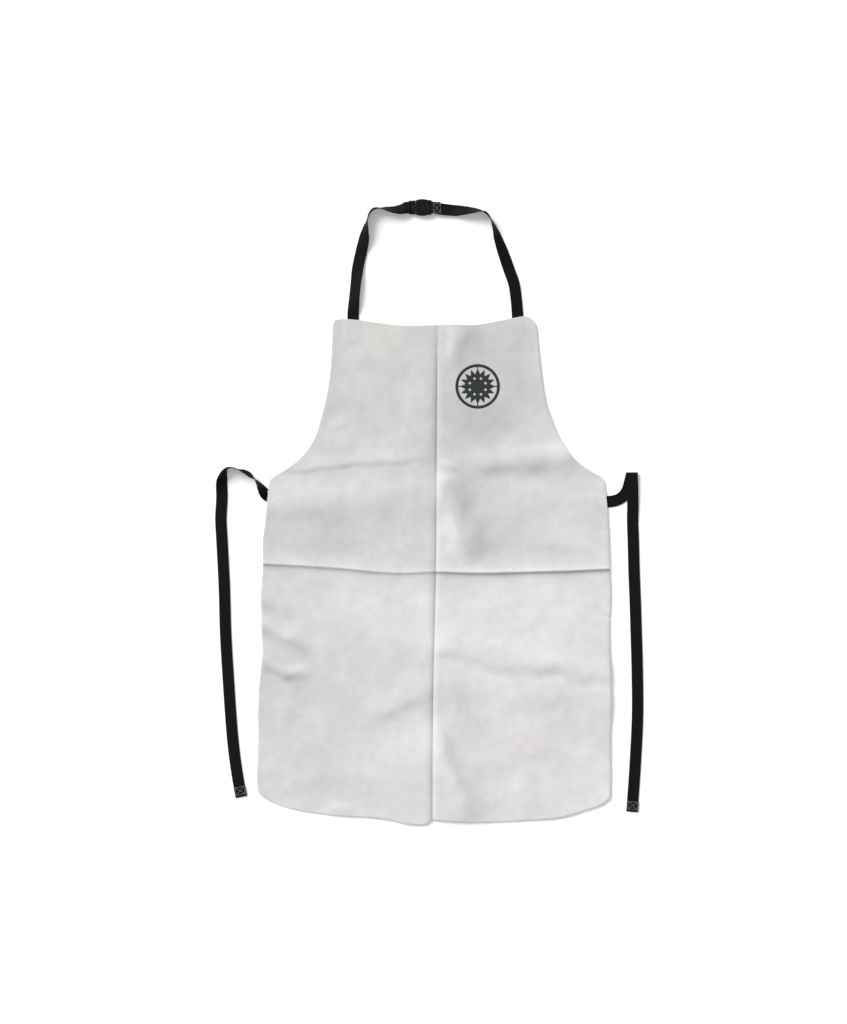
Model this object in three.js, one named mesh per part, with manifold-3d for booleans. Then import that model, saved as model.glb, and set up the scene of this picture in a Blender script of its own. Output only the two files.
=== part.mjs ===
// Welding apron of split leather with webbing straps, laid out flat with its front up.
// Millimetres. +X is to the right, +Y is towards the bib, +Z is up from the surface it lies on.
// The origin is under the middle of the box around the leather and the neck loop.
import * as THREE from 'three';
import { mergeVertices } from 'three/addons/utils/BufferGeometryUtils.js';
import Module from 'manifold-3d';

const wasm = await Module();
wasm.setup();

// ---- Driving dimensions ----

// Leather
const apronLength = 886; // from the bib's top corners to the lowest point of the hem
const hemWidth = 618;
const foldInset = 5; // from the hem's side in to the leather's side at the fold line
const hipInset = 15; // from the hem's side in to the hip corner
const bibWidth = 354;
const bibHeight = 284; // from the hip corners up to the bib's top corners
const bibStraight = 92; // straight side of the bib, above the armhole curve
const bibFlare = 7; // how far the straight side leans out
const bibDip = 12; // how far the top edge sags between its corners
const bibCornerRadius = 15;
const skirtLength = 442; // from the fold line to the lowest point of the hem
const hemRise = 42; // how far the hem's corners lie above its middle
const hemCornerRadius = 20;
const leatherThickness = 1.6;

// Webbing, used for the neck strap and the waist ties
const webWidth = 20;
const webThickness = 1.5;
const clearance = 0.3; // between pieces that touch

// Neck loop
const loopRise = 207; // from the bib's top corners to the top side of the buckle
const leftStrapX = 142; // middle of the strap from the middle of the bib
const rightStrapX = 146;
const neckSewnLength = 36; // strap behind the bib

// Waist ties
const leftTieDrop = 28; // middle of the tie below the hip corner
const rightTieDrop = 38;
const tieSewnLength = 35;

// Thread
const threadWidth = 0.9;
const threadHeight = 0.5;
const stitchInset = 2; // from the edge of the webbing to the stitching

// Buckle, along the strap unless it says otherwise
const buckleCheek = 1.5; // wall beside the strap, at the socket's mouth and on the plug
const tailCheek = 2.2; // wall beside the strap, at the socket's bar
const buckleBulge = 2.4; // how far the socket's sides arch out beyond its mouth
const buckleHeight = 9;
const socketLength = 27.4;
const plugLength = 11.5; // the part that stays outside the socket
const barSize = 3; // thickness of each strap bar
const strapSlot = 2.8; // opening beside each bar
const cavityHeight = 4.6;
const cavityLength = 19.5;
const cavitySide = 2; // side wall of the socket at its mouth
const windowStart = 9.5; // from the socket's mouth
const prongLength = 18.6;
const prongWidth = 3;
const prongHeight = 3.8;
const prongHead = 7; // length of the barbed head
const prongSunk = 1.4; // how far the head stays inside the socket's widest place
const tongueWidth = 5;
const tongueLength = 16;
const buckleLeftX = -44; // free end of the plug

// Chest emblem, an ink film
const emblemRadius = 39;
const emblemX = 76;
const emblemDrop = 120; // middle of the emblem below the bib's top corners
const inkThickness = 0.2;

// ---- Places that follow from them ----

const foldWidth = hemWidth - 2 * foldInset;
const hipWidth = hemWidth - 2 * hipInset;
const buckleMouthWidth = webWidth + 2 * (clearance + buckleCheek);
const buckleTailWidth = webWidth + 2 * (clearance + tailCheek);
const buckleWidth = buckleMouthWidth + 2 * buckleBulge;
const hemY = -(apronLength + loopRise) / 2;
const bibTopY = hemY + apronLength;
const hipY = bibTopY - bibHeight;
const foldY = hemY + skirtLength;
const bibZ = webThickness + clearance; // the bib lies on the sewn strap ends
const stitchZ = bibZ + leatherThickness + clearance;
const bucklePlace = new THREE.Vector3(buckleLeftX, bibTopY + loopRise - buckleWidth / 2, 0);
const barZ = buckleHeight / 2;
const wrapRadius = barSize / 2 + clearance + webThickness / 2; // webbing round a bar

// ---- Materials ----

const leather = new THREE.MeshStandardMaterial({ color: '#d9dbd7', roughness: 0.85, metalness: 0 });
const webbing = new THREE.MeshStandardMaterial({ color: '#1c1c1a', roughness: 0.8, metalness: 0 });
const plastic = new THREE.MeshStandardMaterial({ color: '#242424', roughness: 0.45, metalness: 0 });
const thread = new THREE.MeshStandardMaterial({ color: '#e4e4dc', roughness: 0.7, metalness: 0 });
const ink = new THREE.MeshStandardMaterial({ color: '#2a3230', roughness: 0.6, metalness: 0 });

// ---- Helpers ----

const apron = new THREE.Group();

function addPiece(name, geometry, material, parent = apron) {
  const piece = new THREE.Mesh(geometry, material);
  piece.name = name;
  parent.add(piece);
  return piece;
}

// A closed mesh as a manifold solid.
function solid(geometry) {
  const bare = geometry.clone();
  bare.deleteAttribute('normal');
  bare.deleteAttribute('uv');
  const merged = mergeVertices(bare, 1e-5);
  return new wasm.Manifold(new wasm.Mesh({
    numProp: 3,
    vertProperties: new Float32Array(merged.attributes.position.array),
    triVerts: new Uint32Array(merged.index.array),
  }));
}

function toGeometry(body) {
  const mesh = body.getMesh();
  const geometry = new THREE.BufferGeometry();
  geometry.setAttribute('position', new THREE.BufferAttribute(mesh.vertProperties, 3));
  geometry.setIndex(new THREE.BufferAttribute(mesh.triVerts, 1));
  return geometry;
}

// A solid block between two corners.
function block(x0, x1, y0, y1, z0, z1) {
  const box = new THREE.BoxGeometry(x1 - x0, y1 - y0, z1 - z0);
  box.translate((x0 + x1) / 2, (y0 + y1) / 2, (z0 + z1) / 2);
  return box;
}

// A plate of even thickness from an outline.
function plate(shape, z0, thickness) {
  const geometry = new THREE.ExtrudeGeometry(shape, {
    depth: thickness,
    bevelEnabled: false,
    curveSegments: 10,
  });
  geometry.translate(0, 0, z0);
  return geometry;
}

// A closed outline from its right half, which runs from the top middle to the bottom middle.
function mirroredShape(halfPath) {
  const right = halfPath.getPoints(10);
  const left = right.map((p) => new THREE.Vector2(-p.x, p.y)).reverse();
  const outline = [...right, ...left].filter((p, i, all) => i === 0 || p.distanceTo(all[i - 1]) > 0.01);
  if (outline[0].distanceTo(outline[outline.length - 1]) < 0.01) {
    outline.pop();
  }
  return new THREE.Shape(outline);
}

// ---- Leather ----

function topEdgeY(x) {
  return bibTopY - bibDip * (1 - (2 * x / bibWidth) ** 2);
}

// Half the leather's width at a height between the hip corners and the fold line.
function hipHalfWidth(y) {
  return hipWidth / 2 + (foldWidth - hipWidth) / 2 * (hipY - y) / (hipY - foldY);
}

function bibOutline() {
  const side = bibWidth / 2;
  const armholeTop = bibTopY - bibStraight;
  const armholeRun = hipWidth / 2 - side - bibFlare;
  const armholeDrop = armholeTop - hipY;
  const half = new THREE.Path();
  half.moveTo(0, topEdgeY(0));
  half.quadraticCurveTo(side / 2, topEdgeY(0), side - bibCornerRadius, topEdgeY(side - bibCornerRadius));
  half.quadraticCurveTo(side, bibTopY, side + bibFlare * bibCornerRadius / bibStraight,
    bibTopY - bibCornerRadius);
  half.lineTo(side + bibFlare, armholeTop);
  half.bezierCurveTo(
    side + bibFlare + 0.11 * armholeRun, armholeTop - 0.51 * armholeDrop,
    side + bibFlare + 0.35 * armholeRun, armholeTop - 0.86 * armholeDrop,
    hipWidth / 2 - 5, hipY,
  );
  half.quadraticCurveTo(hipWidth / 2, hipY - 2, hipHalfWidth(hipY - 9), hipY - 9);
  half.lineTo(foldWidth / 2, foldY + clearance / 2);
  half.lineTo(0, foldY + clearance / 2);
  return mirroredShape(half);
}

function skirtOutline() {
  const side = hemWidth / 2;
  const cornerY = hemY + hemRise;
  const half = new THREE.Path();
  half.moveTo(0, foldY - clearance / 2);
  half.lineTo(foldWidth / 2, foldY - clearance / 2);
  half.lineTo(side, cornerY + hemCornerRadius);
  half.quadraticCurveTo(side, cornerY, side - hemCornerRadius, cornerY - hemRise / 6);
  half.quadraticCurveTo(side / 2, hemY, 0, hemY);
  return mirroredShape(half);
}

addPiece('apron_bib', plate(bibOutline(), bibZ, leatherThickness), leather);
addPiece('apron_skirt', plate(skirtOutline(), 0, leatherThickness), leather);

// ---- Box-and-cross stitching ----

// A frame with two diagonals, joined into one body, centred on the origin.
function boxStitch(length, width) {
  const halfLength = length / 2;
  const halfWidth = width / 2;
  const diagonal = Math.hypot(length - threadWidth, width - threadWidth);
  const slope = Math.atan2(width - threadWidth, length - threadWidth);
  let body = solid(block(-halfLength, halfLength, -halfWidth, halfWidth, 0, threadHeight));
  const inner = block(-halfLength + threadWidth, halfLength - threadWidth,
    -halfWidth + threadWidth, halfWidth - threadWidth, -threadHeight, 2 * threadHeight);
  body = body.subtract(solid(inner));
  for (const turn of [slope, -slope]) {
    const bar = new THREE.BoxGeometry(diagonal, threadWidth, threadHeight);
    bar.rotateZ(turn);
    bar.translate(0, 0, threadHeight / 2);
    body = body.add(solid(bar));
  }
  return toGeometry(body);
}

// ---- Webbing bands ----

// A station is [x, y, heading, lean, lift]. Heading is the direction across the band in the
// horizontal plane, in degrees, and lean turns it up from there, so at 90 the band stands on
// its edge. Lift is the height of the band's lowest edge.
function stationPoint([x, y, , , lift]) {
  return new THREE.Vector3(x, y, lift);
}

function stationAcross([, , heading, lean]) {
  const turn = THREE.MathUtils.degToRad(heading);
  const up = THREE.MathUtils.degToRad(lean);
  return new THREE.Vector3(Math.cos(turn) * Math.cos(up), Math.sin(turn) * Math.cos(up), Math.sin(up));
}

// How far a band's middle lies above its lowest edge, from the direction across it.
function riseOf(across) {
  return Math.abs(across.z) * webWidth / 2 + Math.sqrt(1 - across.z ** 2) * webThickness / 2;
}

// A thin box bent along a route. The points follow the band's lowest edge, and the direction
// across the band is given at each of them.
function band(points, across, stepsPerSpan = 3) {
  const route = new THREE.CatmullRomCurve3(points, false, 'centripetal');
  const side = new THREE.CatmullRomCurve3(across, false, 'catmullrom', 0.3);
  const steps = (points.length - 1) * stepsPerSpan;
  const centre = (along) => {
    const rise = riseOf(side.getPoint(along).normalize());
    return route.getPoint(along).add(new THREE.Vector3(0, 0, rise));
  };
  const geometry = new THREE.BoxGeometry(webWidth, webThickness, 1, 1, 1, steps);
  const position = geometry.attributes.position;
  const nudge = 0.1 / steps;
  for (let i = 0; i < position.count; i++) {
    const along = Math.round((position.getZ(i) + 0.5) * steps) / steps;
    const before = centre(Math.max(along - nudge, 0));
    const tangent = centre(Math.min(along + nudge, 1)).sub(before).normalize();
    const sideways = side.getPoint(along);
    sideways.addScaledVector(tangent, -sideways.dot(tangent)).normalize();
    const normal = new THREE.Vector3().crossVectors(tangent, sideways);
    const place = route.getPoint(along);
    place.z = Math.max(place.z, 0) + riseOf(sideways);
    place.addScaledVector(sideways, position.getX(i));
    place.addScaledVector(normal, position.getY(i));
    position.setXYZ(i, place.x, place.y, place.z);
  }
  return geometry;
}

function bandFromStations(stations) {
  return band(stations.map(stationPoint), stations.map(stationAcross));
}

// ---- Neck strap ----

const neckLoop = new THREE.Group();
apron.add(neckLoop);

// Each free strap starts at the bib's top edge. Its stations are shares of the way across and
// up to the buckle, with heading and lean: it stands on its edge round the loop's corner.
const leftStrapStations = [
  [0, 0.04, 0, 0],
  [0.01, 0.1, -1, 10],
  [0.03, 0.2, -3, 26],
  [0.06, 0.33, -6, 26],
  [0.1, 0.464, -10, 8],
  [0.167, 0.6, -14, 4],
  [0.224, 0.703, -14, 22],
  [0.263, 0.809, -14, 60],
  [0.292, 0.877, -20, 84],
  [0.345, 0.945, -45, 90],
  [0.43, 0.985, -70, 90],
  [0.58, 0.992, -90, 82],
  [0.74, 0.984, -92, 62],
  [0.86, 0.978, -92, 50],
];
const rightStrapStations = [
  [0, 0.04, 0, 0],
  [0.006, 0.1, 2, -4],
  [0.02, 0.2, 6, -8],
  [0.046, 0.32, 14, -6],
  [0.112, 0.453, 22, -4],
  [0.186, 0.598, 22, -20],
  [0.25, 0.72, 22, -42],
  [0.3, 0.825, 26, -68],
  [0.355, 0.91, 35, -88],
  [0.415, 0.955, 65, -90],
  [0.49, 0.97, 83, -74],
  [0.58, 0.972, 85, -56],
  [0.68, 0.972, 86, -38],
  [0.8, 0.974, 88, -14],
];

// The height of the band's lower face where its middle lies at a height.
function lowerFace(middleZ) {
  return middleZ - webThickness / 2;
}

// Points on the far side of a bar, from its top round to its underside.
function roundBar(barX, towards) {
  const turns = 6;
  const points = [];
  for (let k = 0; k <= turns; k++) {
    const angle = Math.PI / 2 - Math.PI * k / turns;
    points.push(new THREE.Vector3(
      barX + towards * wrapRadius * Math.cos(angle),
      bucklePlace.y,
      lowerFace(barZ + wrapRadius * Math.sin(angle)),
    ));
  }
  return points;
}

function neckStrap(sign, strapX, stations, barX, fall) {
  const start = new THREE.Vector2(sign * strapX, topEdgeY(strapX) + clearance);
  const end = new THREE.Vector2(barX + sign * strapFallLength, bucklePlace.y);
  const points = [stationPoint([start.x, start.y, 0, 0, 0])];
  const across = [stationAcross([0, 0, 0, 0])];
  for (const [shareX, shareY, heading, lean] of stations) {
    const x = THREE.MathUtils.lerp(start.x, end.x, shareX);
    const y = THREE.MathUtils.lerp(start.y, end.y, shareY);
    points.push(stationPoint([x, y, heading, lean, 0]));
    across.push(stationAcross([x, y, heading, lean, 0]));
  }
  // The strap comes in a little low and leaning, and turns flat before the bar.
  const [fallDrop, fallLean, fallLift] = fall;
  points.push(new THREE.Vector3(end.x, end.y - fallDrop, fallLift));
  across.push(stationAcross([0, 0, sign * 90, fallLean]));
  // Over the bar, round it, and back under the strap.
  const underZ = lowerFace(barZ - wrapRadius);
  const loop = [
    new THREE.Vector3(barX + sign * 3, end.y, lowerFace(barZ + wrapRadius * 0.95)),
    ...roundBar(barX, -sign),
    new THREE.Vector3(barX + sign * 3, end.y, underZ),
    new THREE.Vector3(barX + sign * (3 + foldedEndLength), end.y, underZ),
  ];
  for (const point of loop) {
    points.push(point);
    across.push(new THREE.Vector3(0, sign, 0));
  }
  return band(points, across);
}

const plugBarX = bucklePlace.x + barSize / 2;
const socketEndX = bucklePlace.x + plugLength + clearance + socketLength;
const socketBarX = socketEndX - barSize / 2;
const strapFallLength = 16; // from the bar to where the strap lies low again
const foldedEndLength = 14;

// How far each strap lies below the bar's middle beside the buckle, its lean and its lift there.
addPiece('neck_strap_left', neckStrap(-1, leftStrapX, leftStrapStations, plugBarX, [3.5, 30, 1.2]),
  webbing, neckLoop);
addPiece('neck_strap_right', neckStrap(1, rightStrapX, rightStrapStations, socketBarX, [2.5, 0, 5.15]),
  webbing, neckLoop);

// The stitching that closes the right strap's folded end lies on top of it.
const foldStitch = addPiece('neck_strap_right_stitching',
  boxStitch(foldedEndLength - 4, webWidth - 2 * stitchInset), thread, neckLoop);
foldStitch.position.set(socketEndX + 9.2, bucklePlace.y, barZ + wrapRadius + webThickness / 2 + clearance);

// The strap ends sewn behind the bib, with their stitching on the leather.
for (const [side, sign, strapX] of [['left', -1, leftStrapX], ['right', 1, rightStrapX]]) {
  const top = topEdgeY(strapX);
  const end = block(sign * strapX - webWidth / 2, sign * strapX + webWidth / 2,
    top - neckSewnLength, top, 0, webThickness);
  addPiece(`neck_strap_${side}_sewn_end`, end, webbing);
  const stitch = addPiece(`bib_${side}_stitching`,
    boxStitch(neckSewnLength - 3 * stitchInset, webWidth - 2 * stitchInset), thread);
  stitch.rotation.z = Math.PI / 2;
  stitch.position.set(sign * strapX, top - neckSewnLength / 2, stitchZ);
}

// ---- Waist ties ----

// Stations of each free tie from the point where it leaves the leather, chosen by hand.
// The left tie turns over once, stands on its edge round a corner and runs down flat.
const leftTieStations = [
  [0, 0, 90, 0, 0],
  [-3, 0, 90, 0, 0],
  [-6.5, 2, 76, -8, 0],
  [-9.5, 7.5, 60, -26, 0],
  [-12, 14.5, 48, -50, 0],
  [-14, 22, 42, -74, 0],
  [-17, 28.5, 46, -90, 0],
  [-26, 37, 60, -112, 0],
  [-36, 43, 66, -106, 0],
  [-46, 46, 75, -92, 0],
  [-58, 50, 90, -90, 0],
  [-67, 48, 315, -84, 0],
  [-72.5, 38, 345, -58, 0],
  [-75.5, 25, 358, -22, 0],
  [-75.6, -4, 0, 0, 0],
  [-77.4, -40, 1, 0, 0],
  [-75.6, -76, 2, 0, 0],
  [-71.5, -156, 3, 0, 0],
  [-69, -242, 2, 0, 0],
  [-64, -326, 4, 0, 0],
  [-58, -411, 4, 0, 0],
  [-53.5, -454, 7, 0, 0],
  [-47.5, -495, 10, 0, 0],
  [-41.8, -525, 11, 0, 0],
];
// The right tie bends up, folds back over itself at the top and runs down flat.
const rightTieStations = [
  [0, 0, 90, 0, 0],
  [3, 0, 90, 0, 0],
  [7, 0.2, 92, 0, 0],
  [14, 0.9, 96, 0, 0],
  [24, 3.4, 109, 0, 0],
  [33.5, 9.4, 129, 0, 0],
  [41, 19.5, 150, 0, 0],
  [45, 32.5, 166, 0, 0],
  [47.8, 44, 175, 0, 0],
  [49.4, 49.4, 180, 0, 0.9],
  [49.5, 51, 180, 0, 2.6],
  [49.5, 49.4, 180, 0, 4.3],
  [49.6, 44, 180, 0, 4.4],
  [50.4, 24, 180, 0, 3.4],
  [51, -6, 180, 0, 2.2],
  [50.8, -34, 181, 0, 0.2],
  [52, -71, 181, 0, 0],
  [53.4, -125, 181, 0, 0],
  [55.2, -171, 181, 0, 0],
  [56.8, -222, 181, 0, 0],
  [58.6, -285, 180, 0, 0],
  [59.4, -371, 179, 0, 0],
  [55.4, -458, 176, 0, 0],
  [49.8, -541, 175, 0, 0],
];

const hemStitchLength = 15;

function waistTie(side, sign, drop, stations) {
  const y = hipY - drop;
  const edge = sign * hipHalfWidth(y);
  const inner = edge - sign * tieSewnLength;
  const placed = stations.map(([dx, dy, heading, lean, lift]) => [
    edge + sign * clearance + dx, y + dy, heading, lean, lift]);
  addPiece(`waist_tie_${side}`, bandFromStations(placed), webbing);
  addPiece(`waist_tie_${side}_sewn_end`, block(Math.min(edge, inner), Math.max(edge, inner),
    y - webWidth / 2, y + webWidth / 2, 0, webThickness), webbing);
  const stitch = addPiece(`waist_${side}_stitching`,
    boxStitch(tieSewnLength - 3 * stitchInset, webWidth - 2 * stitchInset), thread);
  stitch.position.set((edge + inner) / 2, y, stitchZ);

  // The hem at the tie's far end is closed with the same stitching.
  const [endX, endY, heading] = placed[placed.length - 1];
  const run = THREE.MathUtils.degToRad(heading + sign * 90);
  const back = hemStitchLength / 2 + stitchInset;
  const hem = addPiece(`tie_${side}_end_stitching`,
    boxStitch(hemStitchLength, webWidth - 2 * stitchInset), thread);
  hem.rotation.z = run;
  hem.position.set(endX - Math.cos(run) * back, endY - Math.sin(run) * back, webThickness + clearance);
}

waistTie('left', -1, leftTieDrop, leftTieStations);
waistTie('right', 1, rightTieDrop, rightTieStations);

// ---- Side-release buckle ----

// The buckle's own frame starts at the plug's free end, on the middle line of the strap.
const buckle = new THREE.Group();
buckle.position.copy(bucklePlace);
neckLoop.add(buckle);

const strapHalf = webWidth / 2 + clearance;
const mouthX = plugLength + clearance;
const cavityHalf = buckleMouthWidth / 2 - cavitySide;
const cavityLow = barZ - cavityHeight / 2;
const cavityHigh = barZ + cavityHeight / 2;

// A round bar across the strap, at the middle of the buckle's height.
function strapBar(x, halfWidth) {
  const bar = new THREE.CylinderGeometry(barSize / 2, barSize / 2, 2 * halfWidth, 12);
  bar.translate(x, 0, barZ);
  return bar;
}

function plugGeometry() {
  const half = buckleMouthWidth / 2;
  const slotEnd = barSize + strapSlot;
  const low = barZ - wrapRadius - webThickness / 2;
  const high = barZ + wrapRadius + webThickness / 2;
  let body = solid(block(slotEnd, plugLength, -half, half, low, high));
  for (const sign of [-1, 1]) {
    const cheek = block(barSize / 2, plugLength, Math.min(sign * half, sign * strapHalf),
      Math.max(sign * half, sign * strapHalf), barZ - barSize / 2, barZ + barSize / 2);
    body = body.add(solid(cheek));
  }
  body = body.add(solid(strapBar(barSize / 2, half)));
  const tongue = block(plugLength - 1, plugLength + tongueLength, -tongueWidth / 2, tongueWidth / 2,
    barZ - barSize / 3, barZ + barSize / 3);
  return toGeometry(body.add(solid(tongue)));
}

function socketGeometry() {
  const half = buckleWidth / 2;
  const mouthHalf = buckleMouthWidth / 2;
  const tailHalf = buckleTailWidth / 2;
  const end = mouthX + socketLength;
  const wall = end - barSize - strapSlot;
  const outline = new THREE.Shape();
  outline.moveTo(mouthX, -mouthHalf);
  outline.bezierCurveTo(mouthX + 5, -half - 0.7, mouthX + 15, -half - 0.7, wall, -tailHalf);
  outline.lineTo(end, -tailHalf);
  outline.lineTo(end, tailHalf);
  outline.lineTo(wall, tailHalf);
  outline.bezierCurveTo(mouthX + 15, half + 0.7, mouthX + 5, half + 0.7, mouthX, mouthHalf);
  let body = solid(plate(outline, 0, buckleHeight));
  const cuts = [
    block(mouthX - 1, mouthX + cavityLength, -cavityHalf, cavityHalf, cavityLow, cavityHigh),
    block(mouthX + windowStart, mouthX + cavityLength, -half - 2, half + 2, cavityLow, cavityHigh),
    block(wall, end + 1, -strapHalf, strapHalf, -1, buckleHeight + 1),
  ];
  for (const cut of cuts) {
    body = body.subtract(solid(cut));
  }
  return toGeometry(body.add(solid(strapBar(end - barSize / 2, tailHalf))));
}

// A release arm: it springs from the plug and ends in a barbed head in the socket's window.
function prongGeometry(sign) {
  const inner = cavityHalf - clearance - prongWidth;
  const outer = cavityHalf - clearance;
  const headOut = buckleWidth / 2 - prongSunk;
  const start = plugLength + clearance;
  const headStart = mouthX + windowStart + clearance;
  const outline = new THREE.Shape();
  outline.moveTo(start, inner);
  outline.lineTo(start + prongLength - prongHead / 2, inner);
  outline.quadraticCurveTo(start + prongLength, inner, start + prongLength, outer);
  outline.quadraticCurveTo(start + prongLength - 1, headOut, headStart + 1.5, headOut);
  outline.lineTo(headStart, headOut - 1);
  outline.lineTo(headStart, outer);
  outline.lineTo(start, outer);
  const arm = plate(outline, barZ - prongHeight / 2, prongHeight);
  if (sign < 0) {
    arm.rotateX(Math.PI);
    arm.translate(0, 0, 2 * barZ);
  }
  return arm;
}

addPiece('buckle_plug', plugGeometry(), plastic, buckle);
addPiece('buckle_socket', socketGeometry(), plastic, buckle);
addPiece('release_prong_upper', prongGeometry(1), plastic, buckle);
addPiece('release_prong_lower', prongGeometry(-1), plastic, buckle);

// ---- Chest emblem ----

// A ring round a spark with sixteen points, joined by four spokes. The spark has a circle of
// eight round holes.
function emblemGeometry() {
  const ring = new THREE.Shape().absarc(0, 0, emblemRadius, 0, 2 * Math.PI);
  ring.holes.push(new THREE.Path().absarc(0, 0, emblemRadius - 5, 0, 2 * Math.PI, true));
  let body = solid(plate(ring, 0, inkThickness));
  const points = 16;
  const star = new THREE.Shape();
  for (let k = 0; k < 2 * points; k++) {
    const reach = (k % 2 ? 0.56 : 0.81) * emblemRadius;
    const angle = Math.PI * k / points;
    const place = [reach * Math.cos(angle), reach * Math.sin(angle)];
    if (k === 0) {
      star.moveTo(...place);
    } else {
      star.lineTo(...place);
    }
  }
  for (let k = 0; k < 8; k++) {
    const angle = Math.PI * (2 * k + 1) / 8;
    star.holes.push(new THREE.Path().absarc(0.38 * emblemRadius * Math.cos(angle),
      0.38 * emblemRadius * Math.sin(angle), 2.2, 0, 2 * Math.PI, true));
  }
  body = body.add(solid(plate(star, 0, inkThickness)));
  for (const turn of [0, Math.PI / 2, Math.PI, 1.5 * Math.PI]) {
    const spoke = new THREE.BoxGeometry(10, 2, inkThickness);
    spoke.translate(emblemRadius - 8, 0, inkThickness / 2);
    spoke.rotateZ(turn);
    body = body.add(solid(spoke));
  }
  return toGeometry(body);
}

const emblem = addPiece('chest_print', emblemGeometry(), ink);
emblem.position.set(emblemX, bibTopY - emblemDrop, stitchZ);

export default apron;
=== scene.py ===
# %% [markdown]
# # A welding apron of split leather
# The real thing is a large sheet of soft white split cowhide, with a bib, two waist ties and a
# neck loop of black webbing, and a small side-release buckle. It lies flat on a table with
# its front up. It was folded in four for its package, so two sharp creases cross it.
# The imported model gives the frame: every size and place here is in metres, in that frame.

import math

import bmesh
import bpy
import numpy as np
from mathutils import Matrix, Vector, noise
from mathutils.bvhtree import BVHTree


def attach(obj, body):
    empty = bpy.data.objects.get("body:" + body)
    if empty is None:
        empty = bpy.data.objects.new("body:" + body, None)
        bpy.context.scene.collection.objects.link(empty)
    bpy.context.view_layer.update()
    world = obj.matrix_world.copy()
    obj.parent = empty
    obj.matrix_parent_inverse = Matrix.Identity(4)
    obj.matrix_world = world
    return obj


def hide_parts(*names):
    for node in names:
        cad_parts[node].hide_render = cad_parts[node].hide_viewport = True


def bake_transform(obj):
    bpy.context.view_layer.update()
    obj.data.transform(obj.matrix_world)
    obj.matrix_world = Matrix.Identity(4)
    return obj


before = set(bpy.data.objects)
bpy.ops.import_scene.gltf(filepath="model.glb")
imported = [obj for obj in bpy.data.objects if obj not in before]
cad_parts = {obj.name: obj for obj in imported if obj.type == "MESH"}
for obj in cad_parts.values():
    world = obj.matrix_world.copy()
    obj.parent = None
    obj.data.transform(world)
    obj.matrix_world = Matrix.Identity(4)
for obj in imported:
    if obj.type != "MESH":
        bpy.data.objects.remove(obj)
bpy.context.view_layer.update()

# %% [markdown]
# ## The camera
# A flat garment is best seen from straight above. A long lens a few metres up keeps the
# perspective small, as a copy stand does. The camera could be aimed with a constraint, but
# with no turn at all it already looks down, with +Y at the top of the picture.

# %% Place the camera
scene = bpy.context.scene
camera = bpy.data.objects.new("overhead_camera", bpy.data.cameras.new("overhead_camera"))
scene.collection.objects.link(camera)
camera.location = (-0.0187, -0.0003, 4.234)
camera.data.lens = 85
camera.data.sensor_width = 36
camera.data.clip_end = 50
scene.camera = camera
print("camera", tuple(round(v, 4) for v in camera.location))

# %% [markdown]
# ## A smooth line through chosen points
# Webbing and leather edges follow lines that pass through a few known points. A Bezier
# curve would need handles for each of them. A Catmull-Rom curve needs only the points, and
# it is the same curve that the frame's own straps follow, so both lie in the same place.

# %% A curve through points
def curve_through(points, shares, tension=None):
    """Places on the curve at shares of its length from 0 to 1; centripetal without a tension."""
    points = np.asarray(points, float)
    padded = np.vstack([2 * points[0] - points[1], points, 2 * points[-1] - points[-2]])
    spans = len(points) - 1
    placed = np.asarray(shares, float) * spans
    index = np.minimum(placed.astype(int), spans - 1)
    part = (placed - index)[:, None]
    before, here, there, after = (padded[index + k] for k in range(4))
    if tension is None:
        pairs = ((before, here), (here, there), (there, after))
        d0, d1, d2 = (np.sqrt(np.linalg.norm(b - a, axis=1))[:, None] + 1e-9 for a, b in pairs)
        leaving = ((here - before) / d0 - (there - before) / (d0 + d1) + (there - here) / d1) * d1
        arriving = ((there - here) / d1 - (after - here) / (d1 + d2) + (after - there) / d2) * d1
    else:
        leaving = tension * (there - before)
        arriving = tension * (after - here)
    square = 3 * (there - here) - 2 * leaving - arriving
    cube = 2 * (here - there) + leaving + arriving
    return here + leaving * part + square * part**2 + cube * part**3


print("half way from 0 to 2:", curve_through([[0], [2]], [0.5])[0][0])

# %% [markdown]
# ## Webbing
# Webbing is a flat woven band, 20 mm wide and 1.5 mm thick. It bends easily one way and
# hardly at all the other, so where it turns a corner on a table it stands up on its edge
# or folds over itself. Each strap is given as stations: a place, the direction across the
# band, how far that direction leans up, and how high the lowest edge lies.
# A grid is laid along the stations, and a Solidify modifier gives the band its thickness.

# %% Follow the stations
MM = 0.001
WEB_WIDTH = 20 * MM
WEB_THICKNESS = 1.5 * MM


def rise_of(across):
    """How far the band's middle lies above its lowest edge."""
    lean = np.abs(across[:, 2])
    return lean * WEB_WIDTH / 2 + np.sqrt(np.maximum(1 - lean**2, 0)) * WEB_THICKNESS / 2


def unit(vectors):
    return vectors / np.linalg.norm(vectors, axis=1)[:, None]


def station_across(heading, lean):
    turn, up = math.radians(heading), math.radians(lean)
    return [math.cos(turn) * math.cos(up), math.sin(turn) * math.cos(up), math.sin(up)]


def follow(points, across, steps_per_span=8):
    """The middle of the band and the directions across it and out of its face, step by step."""
    spans = len(points) - 1
    shares = np.linspace(0, 1, spans * steps_per_span + 1)
    nudge = 0.1 / (3 * spans)

    def centre(at):
        place = curve_through(points, at)
        place[:, 2] += rise_of(unit(curve_through(across, at, 0.3)))
        return place

    tangent = unit(centre(np.minimum(shares + nudge, 1)) - centre(np.maximum(shares - nudge, 0)))
    side = curve_through(across, shares, 0.3)
    side = unit(side - np.sum(side * tangent, axis=1)[:, None] * tangent)
    middle = curve_through(points, shares)
    middle[:, 2] = np.maximum(middle[:, 2], 0) + rise_of(side)
    return middle, side, np.cross(tangent, side)


def length_of(line):
    return float(np.sum(np.linalg.norm(np.diff(line, axis=0), axis=1)))


# %% Lay a band along them
PATTERN_ROOM = 1.2  # metres of cloth that one whole UV square covers


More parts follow.
